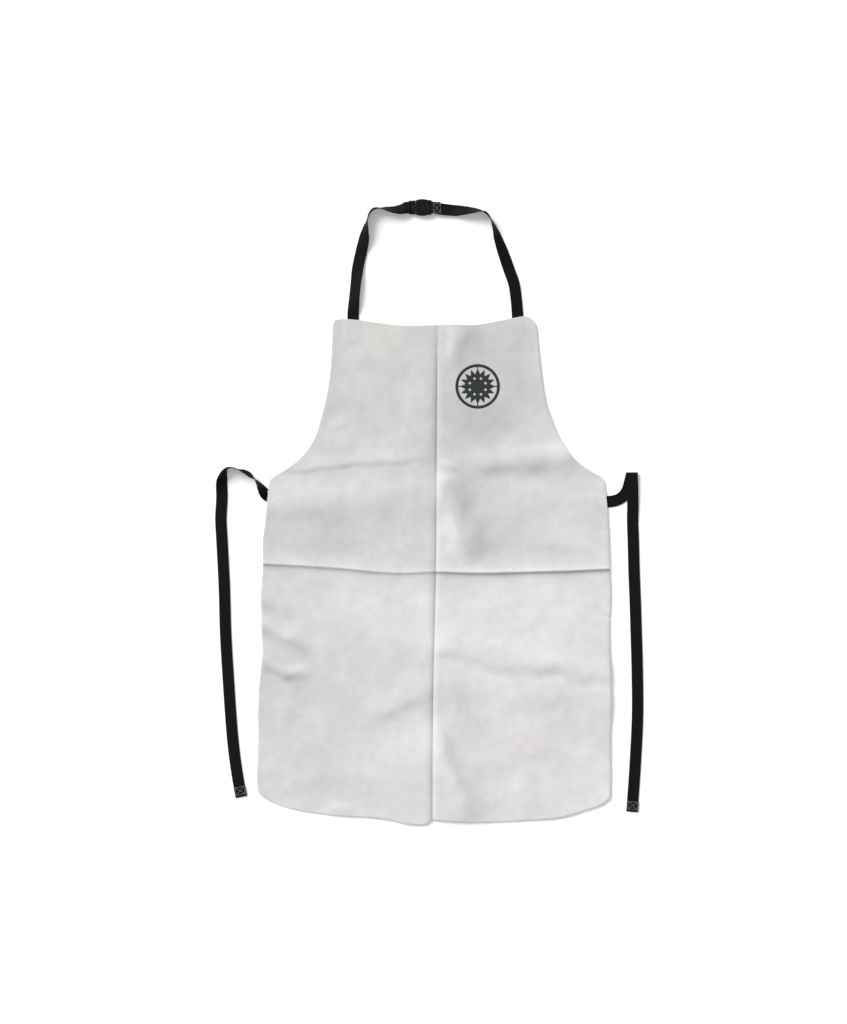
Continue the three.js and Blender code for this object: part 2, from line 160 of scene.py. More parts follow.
def link(mesh, name):
    piece = bpy.data.objects.new(name, mesh)
    scene.collection.objects.link(piece)
    return piece


def webbing_band(name, middle, side, face, columns=8):
    """A grid laid along the route, with its UV map in metres along and across the band."""
    steps = len(middle) - 1
    travelled = np.concatenate([[0], np.cumsum(np.linalg.norm(np.diff(middle, axis=0), axis=1))])
    band = bmesh.new()
    bmesh.ops.create_grid(band, x_segments=steps, y_segments=columns, size=0.5)
    uv = band.loops.layers.uv.new("weave")
    for corner_face in band.faces:
        corner_face.smooth = True
        for loop in corner_face.loops:
            step = round((loop.vert.co.x + 0.5) * steps)
            loop[uv].uv = (travelled[step] / PATTERN_ROOM, loop.vert.co.y * WEB_WIDTH / PATTERN_ROOM + 0.5)
    for vert in band.verts:
        step = round((vert.co.x + 0.5) * steps)
        across = vert.co.y
        # The woven face swells a little between the two selvedges.
        swell = 0.00012 * math.cos(math.pi * across) ** 2
        vert.co = middle[step] + side[step] * across * WEB_WIDTH + face[step] * swell
    mesh = bpy.data.meshes.new(name)
    band.to_mesh(mesh)
    band.free()
    piece = link(mesh, name)
    solid = piece.modifiers.new("thickness", "SOLIDIFY")
    solid.thickness = WEB_THICKNESS
    solid.offset = 0
    edge = piece.modifiers.new("selvedge", "BEVEL")
    edge.width = 0.5 * MM
    edge.segments = 2
    edge.limit_method = "ANGLE"
    edge.angle_limit = math.radians(60)
    return piece


# %% [markdown]
# ## The waist ties
# Each tie is sewn behind the leather at the hip, comes out beside it, turns over and runs
# down the side to a doubled, stitched hem. They are loose straps of a fixed length, so they
# come first: nothing else on the apron depends on how they lie, and they set how much
# room the whole model takes.

# %% Stations of the ties
BIB_TOP = 339.5
HIP_Y = 55.5
TIE_SEWN = 35
TIE_SHOWN_SEWN = 28  # how much of the sewn end counts with the strap's own length

LEFT_TIE = [
    [6, 0.4, 76, 0, 0], [2, 2.4, 70, -4, 0], [-1.5, 6, 62, -20, 0], [-5, 11, 54, -40, 0],
    [-8.5, 17, 48, -60, 0], [-12, 23, 44, -76, 0], [-16.5, 29, 46, -90, 0],
    [-26, 37, 60, -112, 0], [-36, 43, 66, -106, 0], [-46, 46, 75, -92, 0],
    [-58, 50, 90, -90, 0], [-67, 48, 315, -84, 0], [-72.5, 38, 345, -58, 0],
    [-75.5, 25, 358, -22, 0], [-75.6, -4, 0, 0, 0], [-77.4, -40, 1, 0, 0],
    [-75.6, -76, 2, 0, 0], [-71.5, -156, 3, 0, 0], [-69, -242, 2, 0, 0],
    [-64, -326, 4, 0, 0], [-58, -411, 4, 0, 0], [-53.5, -454, 7, 0, 0],
    [-47.5, -495, 10, 0, 0], [-41.8, -525, 11, 0, 0],
]
RIGHT_TIE = [
    [0, 0, 90, 0, 0], [3, 0, 90, 0, 0], [7, 0.2, 92, 0, 0], [14, 0.9, 96, 0, 0],
    [24, 3.4, 109, 0, 0], [33.5, 9.4, 129, 0, 0], [41, 19.5, 150, 0, 0], [45, 32.5, 166, 0, 0],
    [47.8, 44, 175, 0, 0], [49.4, 49.4, 180, 0, 0.9], [49.5, 51, 180, 0, 2.6],
    [49.5, 49.4, 180, 0, 4.3], [49.6, 44, 180, 0, 4.4], [50.4, 24, 180, 0, 3.4],
    [51, -6, 180, 0, 2.2], [50.8, -34, 181, 0, 0.2], [52, -71, 181, 0, 0],
    [53.4, -125, 181, 0, 0], [55.2, -171, 181, 0, 0], [56.8, -222, 181, 0, 0],
    [58.6, -285, 180, 0, 0], [59.4, -371, 179, 0, 0], [55.4, -458, 176, 0, 0],
    [49.8, -541, 175, 0, 0],
]


def hip_edge(y):
    return 294 + 10 * (HIP_Y - y) / 160


# %% Make the ties
HEM_FOLD = 17  # mm of webbing turned back over the end of each tie

tie_ends = {}
ties = {}
for side_name, sign, drop, stations in (("left", -1, 28, LEFT_TIE), ("right", 1, 38, RIGHT_TIE)):
    tie_y = HIP_Y - drop
    exit_x = sign * (hip_edge(tie_y) + 0.3)
    sewn = [[-sign * TIE_SEWN, 0, 90, 0, 0], [-sign * TIE_SHOWN_SEWN, 0, 90, 0, 0], [-sign * 14, 0, 90, 0, 0]]
    placed = [[exit_x + dx, tie_y + dy, heading, lean, lift]
              for dx, dy, heading, lean, lift in sewn + stations]
    route = follow([[x * MM, y * MM, lift * MM] for x, y, _, _, lift in placed],
                   [station_across(heading, lean) for _, _, heading, lean, _ in placed])
    tie = webbing_band(f"waist_tie_{side_name}", *route)
    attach(tie, "apron")
    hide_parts(f"waist_tie_{side_name}", f"waist_tie_{side_name}_sewn_end")
    ties[side_name] = tie
    tie_ends[side_name] = placed[-1]
    print(tie.name, "free length", round(length_of(route[0][24:]), 4), "m")

# %% [markdown]
# The end of each tie is turned back over itself, so that it doesn't fray. The doubled layer
# is one more short band that starts on top of the strap and curls down round its end.

# %% Fold the hems of the ties
def local_band(name, profile, place, turn, columns=8):
    """A short flat band along a profile of (run, height) points, turned and put in its place."""
    run = np.array([math.cos(turn), math.sin(turn), 0])
    points = [np.array(place) + run * reach + np.array([0, 0, height]) for reach, height in profile]
    shares = np.linspace(0, 1, 4 * (len(points) - 1) + 1)
    middle = curve_through(points, shares)
    tangent = unit(np.gradient(middle, axis=0))
    side = np.tile([-math.sin(turn), math.cos(turn), 0], (len(middle), 1))
    return webbing_band(name, middle, side, np.cross(tangent, side), columns)


hems = {}
for side_name, sign in (("left", -1), ("right", 1)):
    x, y, heading, _, _ = tie_ends[side_name]
    layer = WEB_THICKNESS + 0.1 * MM
    curl = [(-HEM_FOLD * MM, layer), (-0.6 * HEM_FOLD * MM, layer), (-0.3 * HEM_FOLD * MM, layer),
            (-0.4 * MM, layer), (0.35 * MM, layer * 0.86), (0.75 * MM, layer * 0.5),
            (0.35 * MM, layer * 0.14), (0.05 * MM, 0.0)]
    turn = math.radians(heading + sign * 90)
    hem = local_band(f"tie_{side_name}_hem", curl, (x * MM, y * MM, WEB_THICKNESS / 2), turn)
    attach(hem, "apron")
    hems[side_name] = hem
    print(hem.name, "doubled over", HEM_FOLD, "mm")

# %% [markdown]
# ## The neck loop
# Two straps leave the top of the bib and meet at the buckle. Each passes over its bar,
# round it and back under itself. One band goes all the way from behind the bib to the bar,
# because the real strap is one piece.

# %% Stations of the neck straps
LEFT_NECK = [
    [0, 0.04, 0, 0], [0.01, 0.1, -1, 10], [0.03, 0.2, -3, 26], [0.06, 0.33, -6, 26],
    [0.1, 0.464, -10, 8], [0.167, 0.6, -14, 4], [0.224, 0.703, -14, 22], [0.263, 0.809, -14, 60],
    [0.292, 0.877, -20, 84], [0.345, 0.945, -45, 90], [0.43, 0.985, -70, 90],
    [0.58, 0.992, -90, 82], [0.74, 0.984, -92, 62], [0.86, 0.978, -92, 50],
]
RIGHT_NECK = [
    [0, 0.04, 0, 0], [0.006, 0.1, 2, -4], [0.02, 0.2, 6, -8], [0.046, 0.32, 14, -6],
    [0.112, 0.453, 22, -4], [0.186, 0.598, 22, -20], [0.25, 0.72, 22, -42],
    [0.3, 0.825, 26, -68], [0.355, 0.91, 35, -88], [0.415, 0.955, 65, -90],
    [0.49, 0.97, 83, -74], [0.58, 0.972, 85, -56], [0.68, 0.972, 86, -38], [0.8, 0.974, 88, -14],
]
BUCKLE_Y = 532.3
BAR_Z = 4.5
WRAP = 2.55  # radius of the webbing's middle round a bar
NECK_SEWN = 36


def top_edge(x):
    return BIB_TOP - 12 * (1 - (2 * x / 354) ** 2)


SLOT_FILL = 0.9  # mm the loose loop stands off its bar, which fills the slot


def neck_points(sign, strap_x, stations, bar_x, fall):
    """The strap's points and the directions across it, from behind the bib to round the bar."""
    start_y = top_edge(strap_x) + 0.3
    end_x = bar_x + sign * 16
    flat = WEB_THICKNESS / MM / 2
    points = [[sign * strap_x, start_y - 0.3 - back, 0] for back in (NECK_SEWN, 24, 12)]
    points.append([sign * strap_x, start_y, 0])
    across = [[1, 0, 0]] * 4
    for share_x, share_y, heading, lean in stations:
        points.append([sign * strap_x + (end_x - sign * strap_x) * share_x,
                       start_y + (BUCKLE_Y - start_y) * share_y, 0])
        across.append(station_across(heading, lean))
    # The strap comes in a little low and leaning, and turns flat before the bar.
    drop, lean, lift, folded = fall
    points.append([end_x, BUCKLE_Y - drop, lift])
    across.append(station_across(sign * 90, lean))
    round_bar = [[bar_x - sign * (WRAP + SLOT_FILL) * math.cos(angle), BUCKLE_Y,
                  BAR_Z + WRAP * math.sin(angle) - flat]
                 for angle in (math.pi / 2 - math.pi * k / 6 for k in range(7))]
    under = BAR_Z - WRAP - flat
    loop = [[bar_x + sign * 3, BUCKLE_Y, BAR_Z + 0.95 * WRAP - flat], *round_bar,
            [bar_x + sign * 3, BUCKLE_Y, under], [bar_x + sign * folded, BUCKLE_Y, under]]
    points += loop
    across += [[0, sign, 0]] * len(loop)
    return np.array(points) * MM, across


# %% Make the neck straps
neck_straps = {}
for side_name, sign, strap_x, stations, bar_x, fall in (
    ("left", -1, 142, LEFT_NECK, -42.5, (3.5, 30, 1.2, 11)),
    ("right", 1, 146, RIGHT_NECK, -6.3, (2.5, 0, 5.15, 17))):
    route = follow(*neck_points(sign, strap_x, stations, bar_x, fall))
    strap = webbing_band(f"neck_strap_{side_name}", *route)
    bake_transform(strap)
    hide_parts(f"neck_strap_{side_name}", f"neck_strap_{side_name}_sewn_end")
    neck_straps[side_name] = strap
    print(strap.name, "length", round(length_of(route[0]), 4), "m")

# %% [markdown]
# ## The leather
# The body is one hide of split leather, 1.6 mm thick, cut to shape with plain edges. It
# isn't flat: it was folded in four, so a valley runs down the middle and a ridge runs
# across the waist, and soft wrinkles lie between them. A cloth simulation would give other
# wrinkles each time its settings change. Here the sheet is a grid whose columns follow the
# valley and whose rows follow the ridge, so that both creases stay sharp, and each wrinkle
# is a small hill or groove along its own line, shifted a little so that it never runs straight.

# %% Outline of the leather
LEFT_SIDE = [
    (-307, -493), (-310, -478), (-308, -406), (-308, -339), (-306, -300), (-300.5, -250),
    (-301.5, -214), (-303, -140), (-299.5, -96), (-300.3, -54), (-296, -19), (-292.3, 15),
    (-289.5, 44), (-286.5, 57), (-269, 68.3), (-254.5, 77.7), (-232.8, 95.2), (-211, 125.7),
    (-198.5, 161.7), (-189.4, 196.5), (-182.4, 240), (-179, 290), (-177, 328), (-174.5, 335),
]
RIGHT_SIDE = [
    (307, -499), (308.5, -480), (308, -406), (309, -339), (308, -300), (306.5, -250),
    (306.5, -210), (309, -140), (307, -102), (305.7, -54), (304.5, -19), (302.5, 15),
    (299.5, 41), (296, 57.5), (278, 69), (261, 80), (241, 97), (220.5, 126.5), (205.5, 161),
    (194, 196.5), (187, 240), (182, 290), (177.5, 328), (171, 338),
]
HEM_LINE = [
    (-307, -493), (-295.6, -501.9), (-266.5, -514.2), (-221.9, -524.3), (-166.1, -530.8),
    (-110.3, -534.1), (-76.8, -538.7), (-54.6, -544.3), (-32.2, -546.5), (-16.6, -545.5),
    (-5.6, -538.8), (9.6, -539.3), (56.4, -541.5), (98.7, -542), (162.4, -539.4),
    (214.9, -535), (257.8, -523.6), (293.7, -510.7), (307, -499),
]
TOP_LINE = [
    (-174.5, 335), (-164.9, 337.4), (-133.4, 335.7), (-93.1, 329.9), (-52.9, 326.4),
    (1.4, 326.9), (41.7, 327.8), (67.9, 326.9), (108.2, 333.2), (134.4, 338.5),
    (161.7, 342), (171, 338),
]
VALLEY_LINE = [(-3, -560), (-3, -539), (-1.9, -329), (3, -104), (4, 56), (5.8, 327), (6, 350)]
RIDGE_LINE = [
    (-320, -90), (-300, -91), (-237, -94), (-151, -100), (-102, -105), (-53, -107), (0, -105),
    (78, -107), (164, -105), (238, -103), (307, -100), (320, -100),
]


def fine(knots, along_axis):
    """A smooth line through the knots, in metres, in rising order of one axis."""
    line = curve_through(knots, np.linspace(0, 1, 24 * len(knots))) * MM
    return line[np.argsort(line[:, along_axis], kind="stable")]


left_side, right_side = fine(LEFT_SIDE, 1), fine(RIGHT_SIDE, 1)
hem_line, top_line = fine(HEM_LINE, 0), fine(TOP_LINE, 0)
valley_line, ridge_line = fine(VALLEY_LINE, 1), fine(RIDGE_LINE, 0)


def x_on(line, y):
    return np.interp(y, line[:, 1], line[:, 0])


def y_on(line, x):
    return np.interp(x, line[:, 0], line[:, 1])


print("leather is", round(float(right_side[:, 0].max() - left_side[:, 0].min()), 3), "m wide")

# %% [markdown]
# The grid's columns gather beside the valley, and its rows beside the ridge and the edges.
# A row has to bend with the hem, with the top edge and with the ridge, and fades to a
# straight line between them.

# %% Where each row and column runs
COLUMNS = 180
ROWS = 246
RIDGE_ROW = ROWS // 2
HEM_LEVEL, RIDGE_LEVEL, TOP_LEVEL = -0.520, -0.103, 0.333


def smooth(value):
    value = np.clip(value, 0, 1)
    return value * value * (3 - 2 * value)


def row_level(row):
    """The straight height of a row, with rows close together at both ends of each half."""
    low, high, share = (HEM_LEVEL, RIDGE_LEVEL, row / RIDGE_ROW)
    upper = row > RIDGE_ROW
    share = np.where(upper, (row - RIDGE_ROW) / (ROWS - RIDGE_ROW), share)
    share = 0.5 * share + 0.5 * smooth(share)
    return np.where(upper, high + (TOP_LEVEL - high) * share, low + (high - low) * share)


def leather_place(column, row):
    """The plan position of a grid point, by going round x and y until they agree."""
    level = row_level(row)
    near_hem = 1 - smooth((level - HEM_LEVEL) / 0.12)
    near_top = 1 - smooth((TOP_LEVEL - level) / 0.06)
    near_ridge = 1 - smooth(np.abs(level - RIDGE_LEVEL) / 0.06)
    across = column / (COLUMNS / 2) - 1
    reach = 0.35 * np.abs(across) + 0.65 * across**2
    y = level
    for _ in range(4):
        middle = x_on(valley_line, y)
        edge = np.where(across < 0, x_on(left_side, y), x_on(right_side, y))
        x = middle + (edge - middle) * reach
        y = (level + near_hem * (y_on(hem_line, x) - HEM_LEVEL)
             + near_top * (y_on(top_line, x) - TOP_LEVEL)
             + near_ridge * (y_on(ridge_line, x) - RIDGE_LEVEL))
    return x, y


print("columns", COLUMNS, "rows", ROWS)

# %% [markdown]
# ## Folds and wrinkles
# Each wrinkle is a line with a height in the middle and a width on either side: the left
# of the line as one walks along it, and the right. A height below zero is a groove. The
# leather never goes under the table, and it lies over the strap ends sewn behind it.

# %% How high the leather lies
WRINKLES = [  # points along the line, height, width on the left, width on the right, in mm
    ([(34, 340), (35, 300), (32, 244)], 3.6, 20, 12),
    ([(-320, 68), (-252, 74), (-170, 82), (-100, 89), (-7, 99)], 2.6, 16, 6),
    ([(44, 84), (120, 86), (194, 92), (260, 106), (320, 122)], 5.6, 26, 19),
    ([(0, 92), (14, 46), (25, 6), (45, -41), (78, -96)], 9.0, 40, 20),
    ([(6, 92), (22, 82), (42, 68)], 2.4, 6, 6),
    ([(-370, 8), (-200, 20), (-50, 27)], 4.6, 26, 34),
    ([(-366, -150), (-312, -186), (-262, -216), (-205, -244)], 7.0, 11, 13),
    ([(-360, -200), (-312, -240), (-288, -262), (-262, -278), (-205, -286)], 7.0, 12, 12),
    ([(-240, -258), (-205, -262), (-190, -262)], -1.6, 8, 8),
    ([(-196, -285), (-150, -300), (-110, -330), (-70, -372)], 1.8, 16, 12),
    ([(-30, -238), (2, -240), (40, -247), (92, -261), (185, -270), (318, -288), (380, -296)], 6.6, 38, 18),
    ([(-20, -272), (40, -280), (92, -295), (185, -304), (318, -323), (380, -332)], 4.6, 17, 40),
    ([(120, -236), (180, -262), (240, -268)], 1.8, 14, 14),
    ([(240, -160), (316, -184), (380, -204)], -2.2, 4, 4),
    ([(0, -350), (16, -420), (40, -480), (90, -540)], 6.4, 16, 26),
    ([(-150, -366), (-64, -340), (20, -292)], 3.0, 24, 18),
    ([(-186, -424), (-215, -462), (-230, -500)], 1.6, 16, 16),
    ([(-130, -514), (-190, -522)], 2.2, 9, 9),
    ([(-140, 164), (-192, 146)], 1.6, 9, 9),
    ([(-60, 160), (-40, 100)], 1.4, 14, 14),
    ([(130, 60), (210, 20), (280, 6)], 1.6, 18, 18),
]
SEWN_ENDS = [  # left, right, low, high in mm, of what is sewn behind the leather
    (-316, -261, 17.5, 37.5), (262, 320, 7.5, 27.5), (-152, -132, 299.5, 350), (136, 156, 300, 350),
]


def along_line(x, y, line):
    """For each point: signed distance to a line of points (left is positive), and how far it
    is from the nearer end of the line, measured along it."""
    line = np.array(line) * MM
    best = np.full(x.shape, 1e9)
    side = np.zeros(x.shape)
    along = np.zeros(x.shape)
    total = length_of(line)
    passed = 0.0
    for (x0, y0), (x1, y1) in zip(line[:-1], line[1:]):
        span = math.hypot(x1 - x0, y1 - y0)
        ux, uy = (x1 - x0) / span, (y1 - y0) / span
        share = np.clip((x - x0) * ux + (y - y0) * uy, 0, span)
        away = np.hypot(x - x0 - share * ux, y - y0 - share * uy)
        closer = away < best
        best = np.where(closer, away, best)
        side = np.where(closer, np.sign(ux * (y - y0) - uy * (x - x0)), side)
        along = np.where(closer, passed + share, along)
        passed += span
    return best * side, np.minimum(along, total - along)


def higher(a, b, softness=0.0004):
    """The higher of two heights, with a rounded join."""
    return (a + b + np.sqrt((a - b) ** 2 + softness**2)) / 2


def wander(x, y, size, reach):
    """A smooth shift of the plan, so that no wrinkle runs quite straight."""
    sideways = [noise.noise(Vector((a / size, b / size, 3.7))) for a, b in zip(x, y)]
    upwards = [noise.noise(Vector((a / size, b / size, 9.1))) for a, b in zip(x, y)]
    return x + reach * np.array(sideways), y + reach * np.array(upwards)


def leather_height(x, y):
    """How high the back of the leather lies above the table."""
    from_valley = x - x_on(valley_line, y)
    from_ridge = y - y_on(ridge_line, x)
    # The panels arch beside the valley, which touches the table; it fades near the top.
    firm = 0.35 + 0.65 * smooth((0.335 - y) / 0.11)
    arch = 3.2 * MM * firm * np.exp(-np.abs(from_valley) / 0.075)
    flank = np.where(from_valley < 0, 0.0055, 0.0040)
    height = arch - 3.2 * MM * firm * np.exp(-np.abs(from_valley) / flank)
    # The ridge across the waist is sharper on its lower side, and higher on the right.
    crest = np.where(from_valley < 0, 2.3, 3.4) * MM
    crest = crest * (1 - 0.55 * np.exp(-np.abs(from_valley) / 0.006))
    ridge_fall = np.where(from_ridge > 0, 0.012, 0.0052)
    height += (crest - 0.5 * height) * np.exp(-np.abs(from_ridge) / ridge_fall)
    loose_x, loose_y = wander(x, y, 0.04, 0.007)
    calm = smooth(np.abs(from_ridge) / 0.02)
    for line, rise, left_width, right_width in WRINKLES:
        away, from_end = along_line(loose_x, loose_y, line)
        width = np.where(away > 0, left_width, right_width) * MM
        fade = smooth(from_end / min(0.06, 0.45 * length_of(np.array(line) * MM)))
        height += calm * rise * MM * np.exp(-(away / width) ** 2) * fade
    # The hem and the right side curl up a little.
    height += 0.0008 + 0.0018 * np.exp(-(y - y_on(hem_line, x)) / 0.022)
    height += 0.0016 * calm * np.exp(-(x_on(right_side, y) - x) / 0.018)
    for left, right, low, high in SEWN_ENDS:
        outside = np.hypot(np.maximum(np.maximum(left * MM - x, x - right * MM), 0),
                           np.maximum(np.maximum(low * MM - y, y - high * MM), 0))
        height = higher(height, 1.85 * MM * np.exp(-(outside / 0.008) ** 2))
    return higher(height, np.zeros(x.shape), 0.0006)


# %% [markdown]
# ## Hand-cut unevenness
# A hide is never quite even, so a little smooth noise is added: long slow swells of about
# 90 mm, shorter ones of 34 mm, and a fine unevenness of 12 mm.

# %% Swells of the hide
def swell_at(x, y):
    swells = ((0.090, 1.6), (0.034, 0.75), (0.012, 0.11))
    return sum(reach * MM * noise.noise(Vector((x / size, y / size, 7 * size * 100)))
               for size, reach in swells)


print("swell at the middle", round(swell_at(0.0, 0.0) / MM, 3), "mm")

# %% [markdown]
# The tone of the hide changes from panel to panel, and painted shade and painted highlight
# lie in it too: painted shade along the valley, under the ridge and in the wrinkles' grooves,
# painted highlight above the ridge and on the wrinkles' tops, and patches of both beside the
# folds. Each point carries a colour, its tone and shade, which the leather's material
# multiplies its colour by. Smooth noise adds soft clouds, as a hide has where it took up the
# tan unevenly.

# %% Tone of the hide, with painted shade and highlight
TONE_AND_SHADE_PATCHES = [  # x, y, reach across, reach up, change of tone, partly painted shade and highlight, of its green, of its red
    (-85, 225, 125, 150, -0.085, 0.024, 0.0), (115, 200, 105, 150, -0.16, 0.0, 0.006),
    (64, 296, 22, 42, -0.12, 0.01, 0.0), (60, 150, 28, 40, -0.06, 0.012, 0.0),
    (150, 106, 110, 10, 0.05, 0.0, 0.0), (150, 78, 100, 13, -0.07, 0.0, 0.0),
    (-160, -20, 150, 66, -0.095, 0.004, 0.0), (-20, 20, 22, 90, -0.05, 0.0, -0.008),
    (48, 24, 20, 36, -0.12, 0.0, 0.0), (72, -24, 24, 26, -0.10, 0.0, 0.0),
    (14, -60, 20, 34, 0.05, 0.0, 0.0), (22, 74, 13, 6, -0.1, 0.0, 0.0),
    (98, -56, 40, 18, -0.08, 0.0, 0.0), (190, -70, 90, 14, -0.05, 0.0, 0.0),
    (-180, -62, 110, 16, -0.08, 0.0, 0.0), (60, -165, 230, 46, 0.07, 0.0, 0.0),
    (150, -190, 165, 80, 0.065, 0.0, 0.0), (165, -400, 150, 130, 0.07, -0.008, 0.016),
    (-90, -150, 90, 50, 0.03, 0.0, 0.0), (-205, -125, 60, 20, -0.06, 0.0, 0.0),
    (-240, -310, 90, 80, -0.06, 0.01, 0.0), (-60, -417, 45, 60, 0.06, 0.0, 0.0),
    (-51, -325, 24, 30, -0.06, 0.0, 0.0), (-205, -443, 40, 40, -0.04, 0.0, 0.0),
    (-254, -184, 16, 7, -0.07, 0.0, 0.0), (-294, -241, 7, 11, 0.12, 0.0, 0.02),
    (-278, -279, 24, 8, -0.12, 0.01, 0.0), (-296, -210, 14, 9, -0.10, 0.0, 0.0),
    (70, -250, 80, 13, -0.07, 0.0, 0.0), (210, -276, 120, 13, -0.07, 0.0, 0.0),
    (52, -460, 22, 60, -0.05, 0.0, 0.0), (-70, 330, 20, 22, 0.05, 0.0, 0.0),
    (-296, -170, 26, 12, -0.12, 0.01, 0.0), (11, -330, 6, 220, -0.04, 0.0, 0.0),
    (-8, 50, 7, 50, -0.10, 0.0, -0.01),
]


def clouds(spots, across, up, layer):
    """Smooth noise at each spot, with patches about this large across and up, in metres."""
    return np.array([noise.noise(Vector((x / across, y / up, layer))) for x, y in spots])


def leather_tone_and_shade(x, y):
    """Red, green and blue shares of the hide's colour at each point, with painted shade and painted highlight
    along the folds and wrinkles.
    """
    from_valley = x - x_on(valley_line, y)
    from_ridge = y - y_on(ridge_line, x)
    firm = 0.3 + 0.7 * smooth((0.335 - y) / 0.11)
    tone_and_shade = np.ones(x.shape)
    # Painted shade along the valley, wider on its left side.
    tone_and_shade -= 0.32 * firm * np.exp(-np.abs(from_valley) / np.where(from_valley < 0, 0.0042, 0.0013))
    # Painted shadow just under the ridge and painted highlight above it, weaker left of the valley.
    below = 0.60 * np.exp(-np.abs(from_ridge + 0.0012) / 0.0026)
    above = 0.12 * np.exp(-np.abs(from_ridge) / 0.009)
    tone_and_shade += np.where(from_ridge > 0.001, above, -below) * np.where(from_valley < 0, 0.7, 1.0)
    loose_x, loose_y = wander(x, y, 0.04, 0.007)
    green = np.zeros(x.shape)
    red = np.zeros(x.shape)
    # Patches of tone, partly painted shade and painted highlight beside the folds, with tints of green and
    # red.
    for px, py, across, up, change, greener, redder in TONE_AND_SHADE_PATCHES:
        share = np.exp(-((loose_x / MM - px) / across) ** 2 - ((loose_y / MM - py) / up) ** 2)
        tone_and_shade += change * share
        green += greener * share
        red += redder * share
    # Darker along the left edge.
    tone_and_shade -= 0.07 * np.exp(-(x - x_on(left_side, y)) / 0.014)
    spots = list(zip(loose_x, loose_y))
    tone_and_shade += 0.06 * clouds(spots, 0.052, 0.038, 5.3)
    tone_and_shade += 0.03 * clouds(spots, 0.019, 0.016, 8.1)
    green += 0.022 * clouds(spots, 0.11, 0.09, 2.2)
    red += 0.018 * clouds(spots, 0.09, 0.12, 6.4)
    # Painted highlight on the tops of the wrinkles and painted shade in their grooves.
    for line, rise, left_width, right_width in WRINKLES:
        away, from_end = along_line(loose_x, loose_y, line)
        width = (left_width + right_width) / 2 * MM
        tone_and_shade += 0.006 * rise * np.exp(-(away / width) ** 2) * smooth(from_end / 0.03)
    tone_and_shade = np.clip(tone_and_shade, 0.5, 1.3)[:, None]
    return tone_and_shade * (1 + np.stack([red, green, -red], axis=1))


# %% Make the leather
LEATHER_THICKNESS = 1.6 * MM


def make_leather():
    sheet = bmesh.new()
    bmesh.ops.create_grid(sheet, x_segments=COLUMNS, y_segments=ROWS, size=0.5)
    sheet.verts.ensure_lookup_table()
    start = np.array([v.co[:2] for v in sheet.verts])
    column = np.rint((start[:, 0] + 0.5) * COLUMNS)
    row = np.rint((start[:, 1] + 0.5) * ROWS)
    x, y = leather_place(column, row)
    swell = np.array([swell_at(a, b) for a, b in zip(x, y)])
    # The swells fade at the ridge, where the two halves fold face to face.
    swell *= smooth(np.abs(y - RIDGE_LEVEL) / 0.03)
    z = leather_height(x, y) + np.maximum(swell, -0.0006)
    for vert, vx, vy, vz in zip(sheet.verts, x, y, z):
        vert.co = (vx, vy, max(vz, 0.00005))
    uv = sheet.loops.layers.uv.new("hide")
    for grid_face in sheet.faces:
        grid_face.smooth = True
        for loop in grid_face.loops:
            loop[uv].uv = (loop.vert.co.x / PATTERN_ROOM + 0.5, loop.vert.co.y / PATTERN_ROOM + 0.5)
    area = sum(grid_face.calc_area() for grid_face in sheet.faces)
    mesh = bpy.data.meshes.new("leather_apron")
    sheet.to_mesh(mesh)
    sheet.free()
    tone_and_shade = mesh.attributes.new("tone_and_shade", "FLOAT_VECTOR", "POINT")
    tone_and_shade.data.foreach_set("vector", leather_tone_and_shade(x, y).astype(np.float32).ravel())
    return link(mesh, "leather_apron"), area


leather, leather_area = make_leather()
thickness = leather.modifiers.new("thickness", "SOLIDIFY")
thickness.thickness = LEATHER_THICKNESS
thickness.offset = 1
thickness.use_rim = True
thickness.material_offset_rim = 1
cut_edge = leather.modifiers.new("cut_edge", "BEVEL")
cut_edge.width = 0.35 * MM
cut_edge.segments = 2
cut_edge.limit_method = "ANGLE"
cut_edge.angle_limit = math.radians(55)
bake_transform(leather)
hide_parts("apron_bib", "apron_skirt")
print("leather area", round(leather_area, 4), "square metres")

# %% [markdown]
# Everything sewn or printed on the leather has to lie on its real surface. A ray is sent
# straight down at the finished sheet, with its thickness, and stops where it meets it.

# %% Find the surface of the leather
bpy.context.view_layer.update()
leather_rays = BVHTree.FromObject(leather, bpy.context.evaluated_depsgraph_get())


def on_leather(x, y):
    hit = leather_rays.ray_cast(Vector((x, y, 1)), Vector((0, 0, -1)))[0]
    return hit.z if hit is not None else LEATHER_THICKNESS


print("surface at the chest", round(on_leather(0.076, 0.2195) / MM, 2), "mm")

# %% [markdown]
# ## Stitching
# Strap ends are held by a box of stitches with a cross in it. Each stitch is a short
# drop of thread pulled into the surface at both ends. A drop is a sphere of a few faces,
# stretched along its seam. Hundreds of them stay light that way.

# %% Sew a box with a cross
THREAD = 0.75 * MM


def sew_line(bm, start, end, height_at, pitch):
    count = max(2, round((end - start).length / pitch))
    for k in range(count):
        a = start.lerp(end, (k + 0.08) / count)
        b = start.lerp(end, (k + 0.92) / count)
        low = Vector((a.x, a.y, height_at(a.x, a.y)))
        high = Vector((b.x, b.y, height_at(b.x, b.y)))
        along = high - low
        place = Matrix.Translation((low + high) / 2) @ along.to_track_quat("Z", "Y").to_matrix().to_4x4()
        size = Matrix.Diagonal((THREAD / 2, THREAD * 0.42, along.length / 2, 1))
        bmesh.ops.create_uvsphere(bm, u_segments=6, v_segments=5, radius=1, matrix=place @ size)


